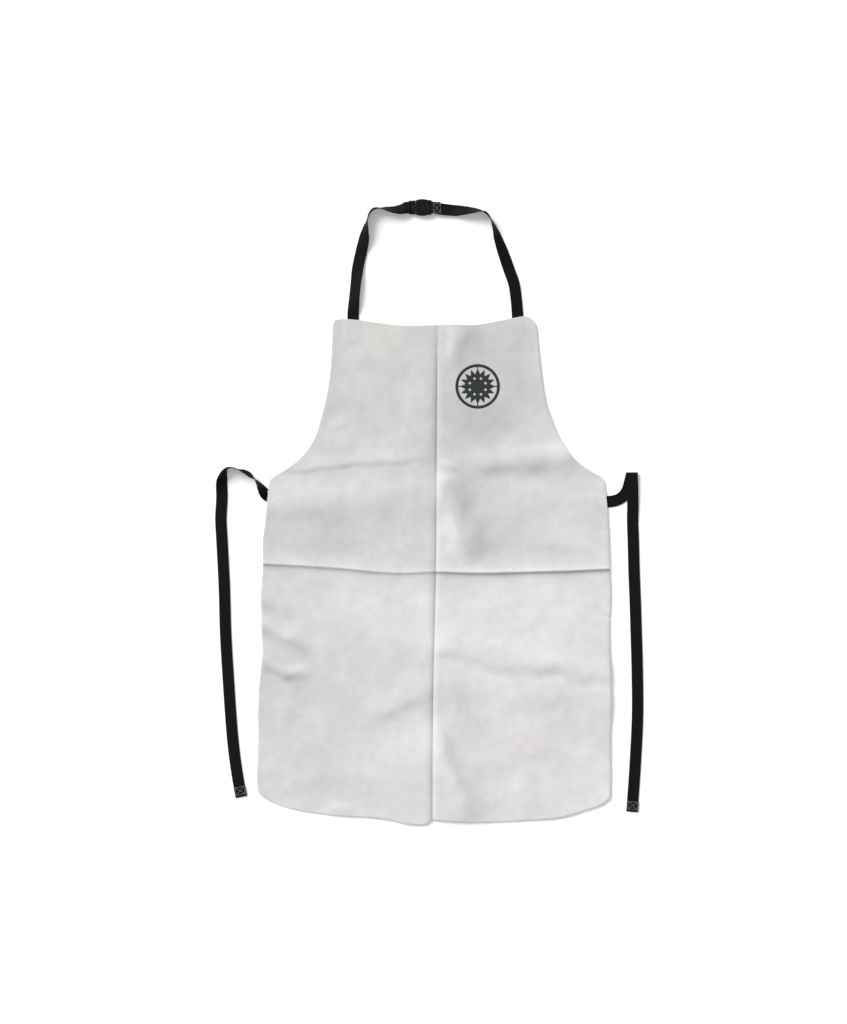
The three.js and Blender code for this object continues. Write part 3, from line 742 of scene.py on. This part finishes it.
def sew_box(name, centre, turn, length, width, height_at, pitch=2.7 * MM):
    """A box with a cross, as one piece, at a place and a turn in plan."""
    seam = bmesh.new()
    place = Matrix.Translation((centre[0], centre[1], 0)) @ Matrix.Rotation(turn, 4, "Z")
    corners = [place @ Vector((sx * length / 2, sy * width / 2, 0))
               for sx, sy in ((-1, -1), (1, -1), (1, 1), (-1, 1))]
    for first, second in ((0, 1), (1, 2), (2, 3), (3, 0), (0, 2), (1, 3)):
        sew_line(seam, corners[first], corners[second], height_at, pitch)
    for drop_face in seam.faces:
        drop_face.smooth = True
    mesh = bpy.data.meshes.new(name)
    seam.to_mesh(mesh)
    seam.free()
    return link(mesh, name)


# %% Stitching on the leather
leather_seams = []
for name, centre, turn, length in (
    ("bib_left_stitching", (-142, top_edge(142) - 18), 90, 30),
    ("bib_right_stitching", (146, top_edge(146) - 18), 90, 30),
    ("waist_left_stitching", (-hip_edge(27.5) + 17.5, 27.5), 0, 29),
    ("waist_right_stitching", (hip_edge(17.5) - 17.5, 17.5), 0, 29),
):
    where = (centre[0] * MM, centre[1] * MM)
    seam = sew_box(name, where, math.radians(turn), length * MM, 16 * MM, on_leather)
    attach(seam, "apron")
    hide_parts(name)
    leather_seams.append(seam)
    print(name, len(seam.data.polygons), "faces")

# %% Stitching on the webbing
web_seams = []
for side_name, sign in (("left", -1), ("right", 1)):
    x, y, heading, _, _ = tie_ends[side_name]
    turn = math.radians(heading + sign * 90)
    back = 9.5 * MM
    where = (x * MM - math.cos(turn) * back, y * MM - math.sin(turn) * back)
    hem_top = 2 * WEB_THICKNESS + 0.2 * MM
    seam = sew_box(f"tie_{side_name}_end_stitching", where, turn, 13 * MM, 16 * MM,
                   lambda x, y: hem_top, 2.2 * MM)
    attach(seam, "apron")
    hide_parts(f"tie_{side_name}_end_stitching")
    web_seams.append(seam)

# %% [markdown]
# The right neck strap's folded end is sewn to itself just beside the buckle. Its top
# surface slopes there, so the stitches ask the strap for its height as they did the leather.

# %% Stitching beside the buckle
bpy.context.view_layer.update()
strap_rays = BVHTree.FromObject(neck_straps["right"], bpy.context.evaluated_depsgraph_get())


def on_strap(x, y):
    hit = strap_rays.ray_cast(Vector((x, y, 1)), Vector((0, 0, -1)))[0]
    return hit.z if hit is not None else BAR_Z * MM


fold_seam = sew_box("neck_strap_right_stitching", (4.9 * MM, (BUCKLE_Y - 1.6) * MM), 0, 12.5 * MM, 16 * MM,
                    on_strap, 2.2 * MM)
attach(fold_seam, "neck_loop")
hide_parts("neck_strap_right_stitching")
web_seams.append(fold_seam)
print("fold stitched at", round(on_strap(4.4 * MM, BUCKLE_Y * MM) / MM, 2), "mm up")

# %% [markdown]
# ## The buckle
# A side-release buckle is moulded in three parts: the plug with its two springy prongs,
# and the socket that they click into. The frame already has their exact shapes, with crisp
# edges. A copy of each is merged, its flat faces are joined up, and its sharp edges get
# the small round that any moulding has.

# %% Mould the buckle
def moulded(node_name, body, round_by=0.45 * MM):
    part = bmesh.new()
    part.from_mesh(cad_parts[node_name].data)
    bmesh.ops.remove_doubles(part, verts=part.verts[:], dist=1e-6)
    bmesh.ops.dissolve_limit(part, angle_limit=math.radians(2), verts=part.verts[:], edges=part.edges[:])
    sharp = [e for e in part.edges if len(e.link_faces) == 2 and e.calc_face_angle() > math.radians(32)]
    bmesh.ops.bevel(part, geom=sharp, offset=round_by, offset_type="OFFSET", segments=2,
                    profile=0.5, affect="EDGES", clamp_overlap=True, material=-1)
    bmesh.ops.triangulate(part, faces=[f for f in part.faces if len(f.verts) > 4])
    mesh = bpy.data.meshes.new(node_name)
    part.to_mesh(mesh)
    part.free()
    piece = link(mesh, "moulded_" + node_name)
    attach(piece, body)
    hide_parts(node_name)
    print(piece.name, len(mesh.polygons), "faces")
    return piece


buckle_parts = [
    moulded("buckle_plug", "neck_loop"), moulded("buckle_socket", "neck_loop"),
    moulded("release_prong_upper", "prong_upper", 0.3 * MM),
    moulded("release_prong_lower", "prong_lower", 0.3 * MM),
]

# %% [markdown]
# ## The chest print
# The print is a film of dark ink that soaks into the nap. It is a plain design made for
# this apron: a ring, a spark with sixteen points, four spokes and eight holes. A picture
# would be the usual way, but a print made of real outlines stays sharp at any distance. The flat
# shapes are cut along a fine lattice of planes, and each corner is then lowered onto the leather.

# %% Draw the print
PRINT_X, PRINT_Y = 0.076, 0.2195
PRINT_RADIUS = 0.039


def outline(bm, radius, segments, place=Matrix.Identity(4)):
    """A bare loop of edges, with nothing in it yet."""
    made = bmesh.ops.create_circle(bm, cap_ends=False, radius=radius, segments=segments, matrix=place)
    return made["verts"], list({e for v in made["verts"] for e in v.link_edges})


def draw_print():
    """A ring, and a spark with sixteen points and a circle of eight holes, joined by spokes."""
    film = bmesh.new()
    ring_edges = outline(film, PRINT_RADIUS, 72)[1] + outline(film, PRINT_RADIUS - 0.005, 72)[1]
    bmesh.ops.triangle_fill(film, use_beauty=True, use_dissolve=False, edges=ring_edges)
    star, spark_edges = outline(film, 0.81 * PRINT_RADIUS, 32)
    for number, vert in enumerate(star):
        if number % 2:
            vert.co *= 0.56 / 0.81
    for hole in range(8):
        turn = Matrix.Rotation((2 * hole + 1) * math.pi / 8, 4, "Z")
        spark_edges += outline(film, 0.0022, 16, turn @ Matrix.Translation((0.38 * PRINT_RADIUS, 0, 0)))[1]
    bmesh.ops.triangle_fill(film, use_beauty=True, use_dissolve=False, edges=spark_edges)
    for quarter in range(4):
        place = (Matrix.Rotation(quarter * math.pi / 2, 4, "Z")
                 @ Matrix.Translation((PRINT_RADIUS - 0.0063, 0, 0))
                 @ Matrix.Diagonal((0.0036, 0.002, 1, 1)))
        bmesh.ops.create_grid(film, x_segments=1, y_segments=1, size=0.5, matrix=place)
    for axis in (Vector((1, 0, 0)), Vector((0, 1, 0))):
        for cut in np.arange(-0.0385, 0.039, 0.0035):
            bmesh.ops.bisect_plane(film, geom=film.verts[:] + film.edges[:] + film.faces[:],
                                   plane_co=axis * float(cut), plane_no=axis, dist=1e-7)
    return film


# %% Lay the print on the leather
def lay_print(film):
    bmesh.ops.translate(film, verts=film.verts[:], vec=(PRINT_X, PRINT_Y, 0))
    bmesh.ops.recalc_face_normals(film, faces=film.faces[:])
    for print_face in film.faces:
        if print_face.normal.z < 0:
            print_face.normal_flip()
        print_face.smooth = True
    for vert in film.verts:
        vert.co.z = on_leather(vert.co.x, vert.co.y) + 0.03 * MM
    mesh = bpy.data.meshes.new("chest_print")
    film.to_mesh(mesh)
    film.free()
    piece = link(mesh, "ink_chest_print")
    film_depth = piece.modifiers.new("film", "SOLIDIFY")
    film_depth.thickness = 0.12 * MM
    film_depth.offset = 1
    return piece


emblem = lay_print(draw_print())
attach(emblem, "apron")
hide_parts("chest_print")
print("print has", len(emblem.data.polygons), "faces")

# %% [markdown]
# The leather is cut from a hide 0.62 by 0.89 m, and its flat area is that of the cut.

print("leather cut")

# %% [markdown]
# ## Materials
# Colours are written as hex values and turned to linear light by one function. A small
# helper adds a node with its settings and links, so that each material reads as a list.

# %% Helpers for the materials
def linear(hex_colour):
    """An sRGB hex colour as linear red, green, blue and alpha."""
    parts = [int(hex_colour[i:i + 2], 16) / 255 for i in (1, 3, 5)]
    return [p / 12.92 if p <= 0.04045 else ((p + 0.055) / 1.055) ** 2.4 for p in parts] + [1.0]


def add_node(tree, kind, inputs=None, **settings):
    """A node with its settings; an input may be a value or another node's output."""
    node = tree.nodes.new(kind)
    for key, value in settings.items():
        setattr(node, key, value)
    for socket, value in (inputs or {}).items():
        if isinstance(value, bpy.types.NodeSocket):
            tree.links.new(value, node.inputs[socket])
        else:
            node.inputs[socket].default_value = value
    return node


def new_finish(name):
    """A material with a shader in it, and its node tree."""
    finish = bpy.data.materials.new(name)
    finish.use_nodes = True
    finish.node_tree.nodes.clear()
    shader = add_node(finish.node_tree, "ShaderNodeBsdfPrincipled")
    add_node(finish.node_tree, "ShaderNodeOutputMaterial", {"Surface": shader.outputs["BSDF"]})
    return finish, finish.node_tree, shader


print("white is", [round(v, 2) for v in linear("#FFFFFF")])

# %% [markdown]
# ## Suede leather
# Split cowhide, drum-dyed off-white and left raw: no shine at all, a short nap that
# catches light at a slant, clouds of slightly different tone a hand wide, and fine
# fibres about a millimetre long. Its pattern follows the sheet's own UV map, one unit to
# 1.2 m of hide, so it bends with the fold.

# %% Suede leather
CLOUD = 0.085  # metres across one cloud of tone
BLOTCH = 0.016
NAP = 0.0011


def suede(name, pale, deep, with_tone_and_shade=True):
    finish, tree, shader = new_finish(name)
    cloth = add_node(tree, "ShaderNodeUVMap", uv_map="hide")
    hide = add_node(tree, "ShaderNodeMapping", {"Vector": cloth.outputs["UV"], "Scale": (PATTERN_ROOM,) * 3})
    clouds = add_node(tree, "ShaderNodeTexNoise", {
        "Vector": hide.outputs["Vector"], "Scale": 1 / CLOUD, "Detail": 3.0, "Roughness": 0.55})
    blotches = add_node(tree, "ShaderNodeTexNoise", {
        "Vector": hide.outputs["Vector"], "Scale": 1 / BLOTCH, "Detail": 4.0, "Roughness": 0.6})
    nap = add_node(tree, "ShaderNodeTexNoise", {
        "Vector": hide.outputs["Vector"], "Scale": 1 / NAP, "Detail": 3.0, "Roughness": 0.7})
    blend_tone = add_node(tree, "ShaderNodeMath", {0: clouds.outputs["Fac"], 1: blotches.outputs["Fac"]},
                          operation="ADD")
    shade = add_node(tree, "ShaderNodeMath", {
        0: blend_tone.outputs[0], 1: nap.outputs["Fac"]}, operation="ADD")
    share = add_node(tree, "ShaderNodeMapRange", {
        "Value": shade.outputs[0], "From Min": 1.05, "From Max": 1.95, "To Min": 0.0, "To Max": 1.0})
    colour = add_node(tree, "ShaderNodeMix", {
        "Factor": share.outputs["Result"], "A": linear(deep), "B": linear(pale)}, data_type="RGBA")
    result = colour.outputs["Result"]
    # The colour is multiplied by the point's attribute of tone, which also holds painted shade and painted
    # highlight along the folds and wrinkles.
    if with_tone_and_shade:
        tone_and_shade = add_node(tree, "ShaderNodeAttribute", attribute_name="tone_and_shade")
        scaled = add_node(tree, "ShaderNodeVectorMath", {0: result, 1: tone_and_shade.outputs["Vector"]},
                          operation="MULTIPLY")
        result = scaled.outputs["Vector"]
    tree.links.new(result, shader.inputs["Base Color"])
    relief = add_node(tree, "ShaderNodeMath", {
        0: nap.outputs["Fac"], 1: blotches.outputs["Fac"]}, operation="ADD")
    bump = add_node(tree, "ShaderNodeBump", {
        "Height": relief.outputs[0], "Strength": 0.35, "Distance": 0.0004})
    tree.links.new(bump.outputs["Normal"], shader.inputs["Normal"])
    shader.inputs["Roughness"].default_value = 0.92
    shader.inputs["Specular IOR Level"].default_value = 0.2
    shader.inputs["Sheen Weight"].default_value = 0.08
    shader.inputs["Sheen Roughness"].default_value = 0.6
    return finish


leather.data.materials.append(suede("split_leather_raw_suede", "#D9D9D9", "#C9C9C9"))
leather.data.materials.append(suede("split_leather_cut_edge", "#D6D4CC", "#C4C1B8", with_tone_and_shade=False))
print("leather finished")

# %% [markdown]
# ## Black webbing
# Polypropylene webbing, woven and heat-set: deep black with a dull plastic sheen on each
# yarn. The yarns run in ribs along the band, and the cross yarns show as steps
# 1.3 mm apart, shifted on every second rib. Both are drawn by two waves multiplied together.

# %% Black webbing
RIB = 0.0016
PICK = 0.0013


def woven_webbing():
    finish, tree, shader = new_finish("polypropylene_webbing_woven_black")
    cloth = add_node(tree, "ShaderNodeUVMap", uv_map="weave")
    band = add_node(tree, "ShaderNodeMapping", {"Vector": cloth.outputs["UV"], "Scale": (PATTERN_ROOM,) * 3})
    split = add_node(tree, "ShaderNodeSeparateXYZ", {0: band.outputs["Vector"]})
    rib_phase = add_node(tree, "ShaderNodeMath", {
        0: split.outputs["Y"], 1: math.pi / RIB}, operation="MULTIPLY")
    rib = add_node(tree, "ShaderNodeMath", {0: rib_phase.outputs[0]}, operation="SINE")
    rib_sign = add_node(tree, "ShaderNodeMath", {0: rib.outputs[0]}, operation="SIGN")
    shift = add_node(tree, "ShaderNodeMath", {0: rib_sign.outputs[0], 1: math.pi / 2}, operation="MULTIPLY")
    pick_phase = add_node(tree, "ShaderNodeMath", {
        0: split.outputs["X"], 1: math.pi / PICK, 2: shift.outputs[0]}, operation="MULTIPLY_ADD")
    pick = add_node(tree, "ShaderNodeMath", {0: pick_phase.outputs[0]}, operation="SINE")
    rib_height = add_node(tree, "ShaderNodeMath", {0: rib.outputs[0]}, operation="ABSOLUTE")
    pick_height = add_node(tree, "ShaderNodeMath", {0: pick.outputs[0]}, operation="ABSOLUTE")
    weave = add_node(tree, "ShaderNodeMath", {0: rib_height.outputs[0], 1: pick_height.outputs[0]},
                     operation="MULTIPLY")
    wear = add_node(tree, "ShaderNodeTexNoise", {
        "Vector": band.outputs["Vector"], "Scale": 90.0, "Detail": 4.0, "Roughness": 0.65})
    level = add_node(tree, "ShaderNodeMath", {
        0: weave.outputs[0], 1: wear.outputs["Fac"]}, operation="MULTIPLY")
    colour = add_node(tree, "ShaderNodeMix", {
        "Factor": level.outputs[0], "A": linear("#080808"), "B": linear("#1A1A18")}, data_type="RGBA")
    tree.links.new(colour.outputs["Result"], shader.inputs["Base Color"])
    bump = add_node(tree, "ShaderNodeBump", {"Height": weave.outputs[0], "Strength": 0.6, "Distance": 0.0003})
    tree.links.new(bump.outputs["Normal"], shader.inputs["Normal"])
    shader.inputs["Roughness"].default_value = 0.7
    shader.inputs["Specular IOR Level"].default_value = 0.12
    return finish


webbing = woven_webbing()
for piece in (*ties.values(), *hems.values(), *neck_straps.values()):
    piece.data.materials.append(webbing)
print("webbing finished")

# %% [markdown]
# ## Moulded plastic
# Acetal, injection-moulded in black: satin, with the finest grain from a spark-eroded
# mould and a soft highlight on its rounded edges. Nothing here bends, so the grain can
# read Object coordinates.

# %% Moulded plastic
def moulded_acetal():
    finish, tree, shader = new_finish("acetal_moulded_black_satin")
    place = add_node(tree, "ShaderNodeTexCoord")
    grain = add_node(tree, "ShaderNodeTexNoise", {
        "Vector": place.outputs["Object"], "Scale": 1 / 0.0005, "Detail": 2.0})
    scuff = add_node(tree, "ShaderNodeTexNoise", {
        "Vector": place.outputs["Object"], "Scale": 1 / 0.006, "Detail": 4.0})
    colour = add_node(tree, "ShaderNodeMix", {
        "Factor": scuff.outputs["Fac"], "A": linear("#0B0B0A"), "B": linear("#161615")}, data_type="RGBA")
    tree.links.new(colour.outputs["Result"], shader.inputs["Base Color"])
    gloss = add_node(tree, "ShaderNodeMapRange", {
        "Value": scuff.outputs["Fac"], "To Min": 0.4, "To Max": 0.6})
    tree.links.new(gloss.outputs["Result"], shader.inputs["Roughness"])
    bump = add_node(tree, "ShaderNodeBump", {
        "Height": grain.outputs["Fac"], "Strength": 0.2, "Distance": 0.0001})
    tree.links.new(bump.outputs["Normal"], shader.inputs["Normal"])
    shader.inputs["IOR"].default_value = 1.48
    shader.inputs["Specular IOR Level"].default_value = 0.14
    return finish


acetal = moulded_acetal()
for piece in buckle_parts:
    piece.data.materials.append(acetal)
print("buckle finished")

# %% [markdown]
# ## Thread
# Bonded polyester, twisted from three plies: off-white on the leather, a dull grey-buff on
# the webbing. The twist is finer than a stitch, so fine stripes run across it.

# %% Thread
def twisted_thread(name, pale, deep):
    finish, tree, shader = new_finish(name)
    place = add_node(tree, "ShaderNodeTexCoord")
    plies = add_node(tree, "ShaderNodeTexWave", {
        "Vector": place.outputs["Object"], "Scale": 380.0, "Distortion": 2.0}, bands_direction="DIAGONAL")
    colour = add_node(tree, "ShaderNodeMix", {
        "Factor": plies.outputs["Fac"], "A": linear(deep), "B": linear(pale)}, data_type="RGBA")
    tree.links.new(colour.outputs["Result"], shader.inputs["Base Color"])
    bump = add_node(tree, "ShaderNodeBump", {
        "Height": plies.outputs["Fac"], "Strength": 0.3, "Distance": 0.0001})
    tree.links.new(bump.outputs["Normal"], shader.inputs["Normal"])
    shader.inputs["Roughness"].default_value = 0.55
    return finish


pale_thread = twisted_thread("polyester_thread_twisted_white", "#E2E2DA", "#C9C9C0")
buff_thread = twisted_thread("polyester_thread_twisted_buff", "#A3A294", "#7F7E72")
for seam in leather_seams:
    seam.data.materials.append(pale_thread)
for seam in web_seams:
    seam.data.materials.append(buff_thread)
print("thread finished")

# %% [markdown]
# ## Ink
# Plastisol ink, screen-printed: a matt near-black with a green cast. On a napped surface
# it never covers quite evenly, so fine specks of the hide show through.

# %% Ink
def screen_ink():
    finish, tree, shader = new_finish("plastisol_ink_screen_printed")
    place = add_node(tree, "ShaderNodeTexCoord")
    specks = add_node(tree, "ShaderNodeTexNoise", {
        "Vector": place.outputs["Object"], "Scale": 1 / 0.0013, "Detail": 3.0, "Roughness": 0.7})
    missed = add_node(tree, "ShaderNodeMapRange", {
        "Value": specks.outputs["Fac"], "From Min": 0.6, "From Max": 0.78, "To Min": 0.0, "To Max": 0.55})
    colour = add_node(tree, "ShaderNodeMix", {
        "Factor": missed.outputs["Result"], "A": linear("#1A211F"), "B": linear("#7E8582")}, data_type="RGBA")
    tree.links.new(colour.outputs["Result"], shader.inputs["Base Color"])
    bump = add_node(tree, "ShaderNodeBump", {
        "Height": specks.outputs["Fac"], "Strength": 0.3, "Distance": 0.0002})
    tree.links.new(bump.outputs["Normal"], shader.inputs["Normal"])
    shader.inputs["Roughness"].default_value = 0.7
    return finish


emblem.data.materials.append(screen_ink())
print("print finished")

# %% [markdown]
# ## Floor and light
# The apron lies on a plain white table. Low light from the upper left draws every wrinkle,
# and a white sky fills the shadows. A sun with a wide angle gives soft shadow edges with
# one light, where a softbox would need its size and distance tuned.

# %% Lay the floor
TABLE_GLOW = 0.17  # the table is a light table, so that shadows stay faint
TABLE_LEVEL = -0.0002  # just under the apron, so that the two surfaces don't coincide
TABLE_HALF = 12  # metres from the middle to each side


def lay_floor():
    table = bmesh.new()
    just_below = Matrix.Translation((0, 0, TABLE_LEVEL))
    bmesh.ops.create_grid(table, x_segments=1, y_segments=1, size=TABLE_HALF, matrix=just_below)
    mesh = bpy.data.meshes.new("white_table")
    table.to_mesh(mesh)
    table.free()
    floor = link(mesh, "white_table")
    finish, _, shader = new_finish("paper_white_matt")
    shader.inputs["Base Color"].default_value = linear("#FAFAFA")
    shader.inputs["Roughness"].default_value = 0.95
    shader.inputs["Specular IOR Level"].default_value = 0.0
    shader.inputs["Emission Color"].default_value = linear("#FFFFFF")
    shader.inputs["Emission Strength"].default_value = TABLE_GLOW
    floor.data.materials.append(finish)
    return floor


lay_floor()
print("floor laid")

# %% Light the table
SUN_HEIGHT = math.radians(36)
SUN_SHARE = 0.66
SKY_SHARE = 0.42


def light_table():
    sun = bpy.data.objects.new("low_sun", bpy.data.lights.new("low_sun", "SUN"))
    scene.collection.objects.link(sun)
    sun.data.energy = SUN_SHARE * math.pi / math.sin(SUN_HEIGHT)
    sun.data.angle = math.radians(34)
    flat = math.cos(SUN_HEIGHT) * math.sqrt(0.5)
    sun.rotation_mode = "QUATERNION"
    sun.rotation_quaternion = Vector((flat, -flat, -math.sin(SUN_HEIGHT))).to_track_quat("-Z", "Y")
    sky = bpy.data.worlds.new("white_sky")
    sky.use_nodes = True
    sky.node_tree.nodes["Background"].inputs["Color"].default_value = (1, 1, 1, 1)
    sky.node_tree.nodes["Background"].inputs["Strength"].default_value = SKY_SHARE
    scene.world = sky
    scene.view_settings.view_transform = "Standard"


light_table()
print("lit")

# %% [markdown]
# ## The end

# %% Finish
bpy.context.view_layer.update()
